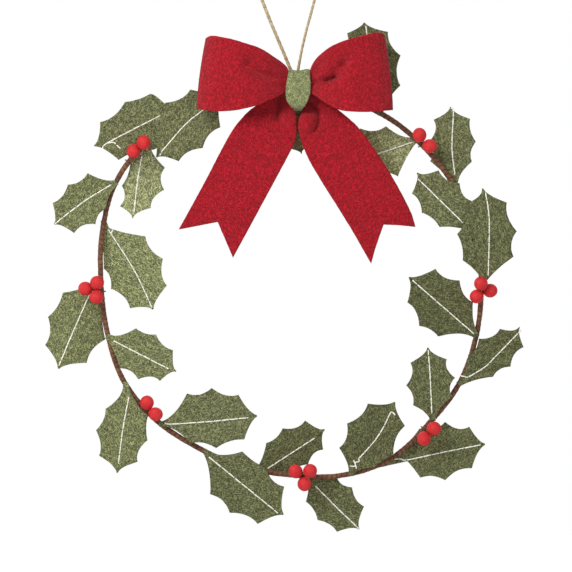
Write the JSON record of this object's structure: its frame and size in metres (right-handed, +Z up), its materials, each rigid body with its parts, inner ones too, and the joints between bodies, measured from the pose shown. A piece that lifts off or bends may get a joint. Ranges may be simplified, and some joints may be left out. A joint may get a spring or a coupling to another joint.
{
  "type": "holly wreath",
  "caption": "Hanging wreath of stitched felt holly leaves and red berries on a taped wire ring, with a felt bow and a twine hanging loop.",
  "frame": {"origin": "inner top of the twine loop, where a peg or hook bears", "axes": "+Z up along the hanging line, -Y out of the front face with the bow, +X to the right seen from the front"},
  "size_m": [0.2959, 0.0374, 0.3821],
  "materials": {
    "leaf_felt": "mottled olive wool felt",
    "bow_felt": "mottled red wool felt",
    "knot_felt": "sage green wool felt",
    "berry_skin": "matt red coating",
    "florist_tape": "brown paper tape wound on in close turns",
    "bare_wire": "plain drawn wire",
    "stem_wire": "dark green coated wire",
    "jute_twine": "two-ply natural jute"
  },
  "bodies": {
    "hanging_cord": {"twine_loop": "jute_twine", "twine_hitch": "jute_twine"},
    "wreath": {"ring_wire": "bare_wire", "ring_tape": "florist_tape", "berry_stem_1": "stem_wire", "berry_stem_2": "stem_wire", "berry_stem_3": "stem_wire", "berry_stem_4": "stem_wire", "berry_stem_5": "stem_wire", "berry_stem_6": "stem_wire", "berry_stem_7": "stem_wire", "berry_01": "berry_skin", "berry_02": "berry_skin", "berry_03": "berry_skin", "berry_04": "berry_skin", "berry_05": "berry_skin", "berry_06": "berry_skin", "berry_07": "berry_skin", "berry_08": "berry_skin", "berry_09": "berry_skin", "berry_10": "berry_skin", "berry_11": "berry_skin", "berry_12": "berry_skin", "berry_13": "berry_skin", "berry_14": "berry_skin", "berry_15": "berry_skin", "berry_16": "berry_skin", "berry_17": "berry_skin", "bow_loop_left": "bow_felt", "bow_loop_right": "bow_felt", "bow_knot_band": "knot_felt", "bow_tie_wire": "stem_wire", "leaf_01": "leaf_felt", "leaf_02": "leaf_felt", "leaf_19": "leaf_felt"},
    "tail_left": {"bow_tail_left": "bow_felt"},
    "tail_right": {"bow_tail_right": "bow_felt"},
    "flexing_leaf_03": {"leaf_03": "leaf_felt"},
    "flexing_leaf_04": {"leaf_04": "leaf_felt"},
    "flexing_leaf_05": {"leaf_05": "leaf_felt"},
    "flexing_leaf_06": {"leaf_06": "leaf_felt"},
    "flexing_leaf_07": {"leaf_07": "leaf_felt"},
    "flexing_leaf_08": {"leaf_08": "leaf_felt"},
    "flexing_leaf_09": {"leaf_09": "leaf_felt"},
    "flexing_leaf_10": {"leaf_10": "leaf_felt"},
    "flexing_leaf_11": {"leaf_11": "leaf_felt"},
    "flexing_leaf_12": {"leaf_12": "leaf_felt"},
    "flexing_leaf_13": {"leaf_13": "leaf_felt"},
    "flexing_leaf_14": {"leaf_14": "leaf_felt"},
    "flexing_leaf_15": {"leaf_15": "leaf_felt"},
    "flexing_leaf_16": {"leaf_16": "leaf_felt"},
    "flexing_leaf_17": {"leaf_17": "leaf_felt"},
    "flexing_leaf_18": {"leaf_18": "leaf_felt"},
    "flexing_leaf_20": {"leaf_20": "leaf_felt"},
    "flexing_leaf_21": {"leaf_21": "leaf_felt"},
    "flexing_leaf_22": {"leaf_22": "leaf_felt"},
    "flexing_leaf_23": {"leaf_23": "leaf_felt"},
    "flexing_leaf_24": {"leaf_24": "leaf_felt"}
  },
  "joints": [
    {"name": "wreath_swing", "type": "hinge", "parent": "hanging_cord", "child": "wreath", "pos_m": [0.0059, -0.00305, -0.1088], "axis": [-1, 0, 0], "range_deg": [-40, 20]},
    {"name": "tail_left_lift", "type": "hinge", "parent": "wreath", "child": "tail_left", "pos_m": [0.00705, -0.01185, -0.11678], "axis": [-1, 0, 0], "range_deg": [0, 18]},
    {"name": "tail_right_lift", "type": "hinge", "parent": "wreath", "child": "tail_right", "pos_m": [0.00765, -0.01185, -0.11678], "axis": [-1, 0, 0], "range_deg": [0, 18]},
    {"name": "leaf_03_flex", "type": "hinge", "parent": "wreath", "child": "flexing_leaf_03", "pos_m": [-0.0857, -0.0003, -0.13869], "axis": [0.9816, 0, -0.1908], "range_deg": [0, 18], "stiffness_Nm_per_rad": 0.005},
    {"name": "leaf_04_flex", "type": "hinge", "parent": "wreath", "child": "flexing_leaf_04", "pos_m": [-0.10538, -0.0058, -0.16473], "axis": [-0.5592, 0, 0.829], "range_deg": [0, 18], "stiffness_Nm_per_rad": 0.005},
    {"name": "leaf_05_flex", "type": "hinge", "parent": "wreath", "child": "flexing_leaf_05", "pos_m": [-0.11251, -0.0003, -0.18839], "axis": [0.8746, 0, 0.4848], "range_deg": [0, 18], "stiffness_Nm_per_rad": 0.005},
    {"name": "leaf_06_flex", "type": "hinge", "parent": "wreath", "child": "flexing_leaf_06", "pos_m": [-0.11441, -0.0003, -0.22556], "axis": [0.8988, 0, -0.4384], "range_deg": [0, 18], "stiffness_Nm_per_rad": 0.005},
    {"name": "leaf_07_flex", "type": "hinge", "parent": "wreath", "child": "flexing_leaf_07", "pos_m": [-0.10989, -0.0058, -0.25993], "axis": [-0.454, 0, -0.891], "range_deg": [0, 18], "stiffness_Nm_per_rad": 0.005},
    {"name": "leaf_08_flex", "type": "hinge", "parent": "wreath", "child": "flexing_leaf_08", "pos_m": [-0.09936, -0.0058, -0.28906], "axis": [-0.9962, 0, 0.0872], "range_deg": [0, 18], "stiffness_Nm_per_rad": 0.005},
    {"name": "leaf_09_flex", "type": "hinge", "parent": "wreath", "child": "flexing_leaf_09", "pos_m": [-0.07718, -0.0058, -0.31417], "axis": [0.0872, 0, -0.9962], "range_deg": [0, 18], "stiffness_Nm_per_rad": 0.005},
    {"name": "leaf_10_flex", "type": "hinge", "parent": "wreath", "child": "flexing_leaf_10", "pos_m": [-0.04916, -0.0058, -0.33141], "axis": [-0.6293, 0, -0.7771], "range_deg": [0, 18], "stiffness_Nm_per_rad": 0.005},
    {"name": "leaf_11_flex", "type": "hinge", "parent": "wreath", "child": "flexing_leaf_11", "pos_m": [-0.01636, -0.0003, -0.34295], "axis": [-0.5299, 0, 0.848], "range_deg": [0, 18], "stiffness_Nm_per_rad": 0.005},
    {"name": "leaf_12_flex", "type": "hinge", "parent": "wreath", "child": "flexing_leaf_12", "pos_m": [0.01514, -0.0003, -0.34663], "axis": [0.7314, 0, 0.682], "range_deg": [0, 18], "stiffness_Nm_per_rad": 0.005},
    {"name": "leaf_13_flex", "type": "hinge", "parent": "wreath", "child": "flexing_leaf_13", "pos_m": [0.04098, -0.0058, -0.34469], "axis": [0.8572, 0, -0.515], "range_deg": [0, 18], "stiffness_Nm_per_rad": 0.005},
    {"name": "leaf_14_flex", "type": "hinge", "parent": "wreath", "child": "flexing_leaf_14", "pos_m": [0.05735, -0.0003, -0.33953], "axis": [-0.1908, 0, 0.9816], "range_deg": [0, 18], "stiffness_Nm_per_rad": 0.005},
    {"name": "leaf_15_flex", "type": "hinge", "parent": "wreath", "child": "flexing_leaf_15", "pos_m": [0.09123, -0.0058, -0.31111], "axis": [0.9976, 0, 0.0698], "range_deg": [0, 18], "stiffness_Nm_per_rad": 0.005},
    {"name": "leaf_16_flex", "type": "hinge", "parent": "wreath", "child": "flexing_leaf_16", "pos_m": [0.10788, -0.0058, -0.2886], "axis": [0.682, 0, -0.7314], "range_deg": [0, 18], "stiffness_Nm_per_rad": 0.005},
    {"name": "leaf_17_flex", "type": "hinge", "parent": "wreath", "child": "flexing_leaf_17", "pos_m": [0.11821, -0.0058, -0.25942], "axis": [0.6561, 0, 0.7547], "range_deg": [0, 18], "stiffness_Nm_per_rad": 0.005},
    {"name": "leaf_18_flex", "type": "hinge", "parent": "wreath", "child": "flexing_leaf_18", "pos_m": [0.12302, -0.0075, -0.22405], "axis": [0.9998, 0, 0.0174], "range_deg": [0, 18], "stiffness_Nm_per_rad": 0.005},
    {"name": "leaf_20_flex", "type": "hinge", "parent": "wreath", "child": "flexing_leaf_20", "pos_m": [0.106, -0.0003, -0.16857], "axis": [-0.9976, 0, -0.0698], "range_deg": [0, 18], "stiffness_Nm_per_rad": 0.005},
    {"name": "leaf_21_flex", "type": "hinge", "parent": "wreath", "child": "flexing_leaf_21", "pos_m": [0.0805, -0.0003, -0.13717], "axis": [0.309, 0, -0.9511], "range_deg": [0, 18], "stiffness_Nm_per_rad": 0.005},
    {"name": "leaf_22_flex", "type": "hinge", "parent": "wreath", "child": "flexing_leaf_22", "pos_m": [0.05861, -0.0003, -0.12134], "axis": [-0.9848, 0, -0.1736], "range_deg": [0, 18], "stiffness_Nm_per_rad": 0.005},
    {"name": "leaf_23_flex", "type": "hinge", "parent": "wreath", "child": "flexing_leaf_23", "pos_m": [0.01251, -0.0003, -0.10904], "axis": [0.9976, 0, -0.0698], "range_deg": [0, 18], "stiffness_Nm_per_rad": 0.005},
    {"name": "leaf_24_flex", "type": "hinge", "parent": "wreath", "child": "flexing_leaf_24", "pos_m": [-0.01831, -0.0003, -0.10989], "axis": [-0.2588, 0, -0.9659], "range_deg": [0, 18], "stiffness_Nm_per_rad": 0.005}
  ]
}
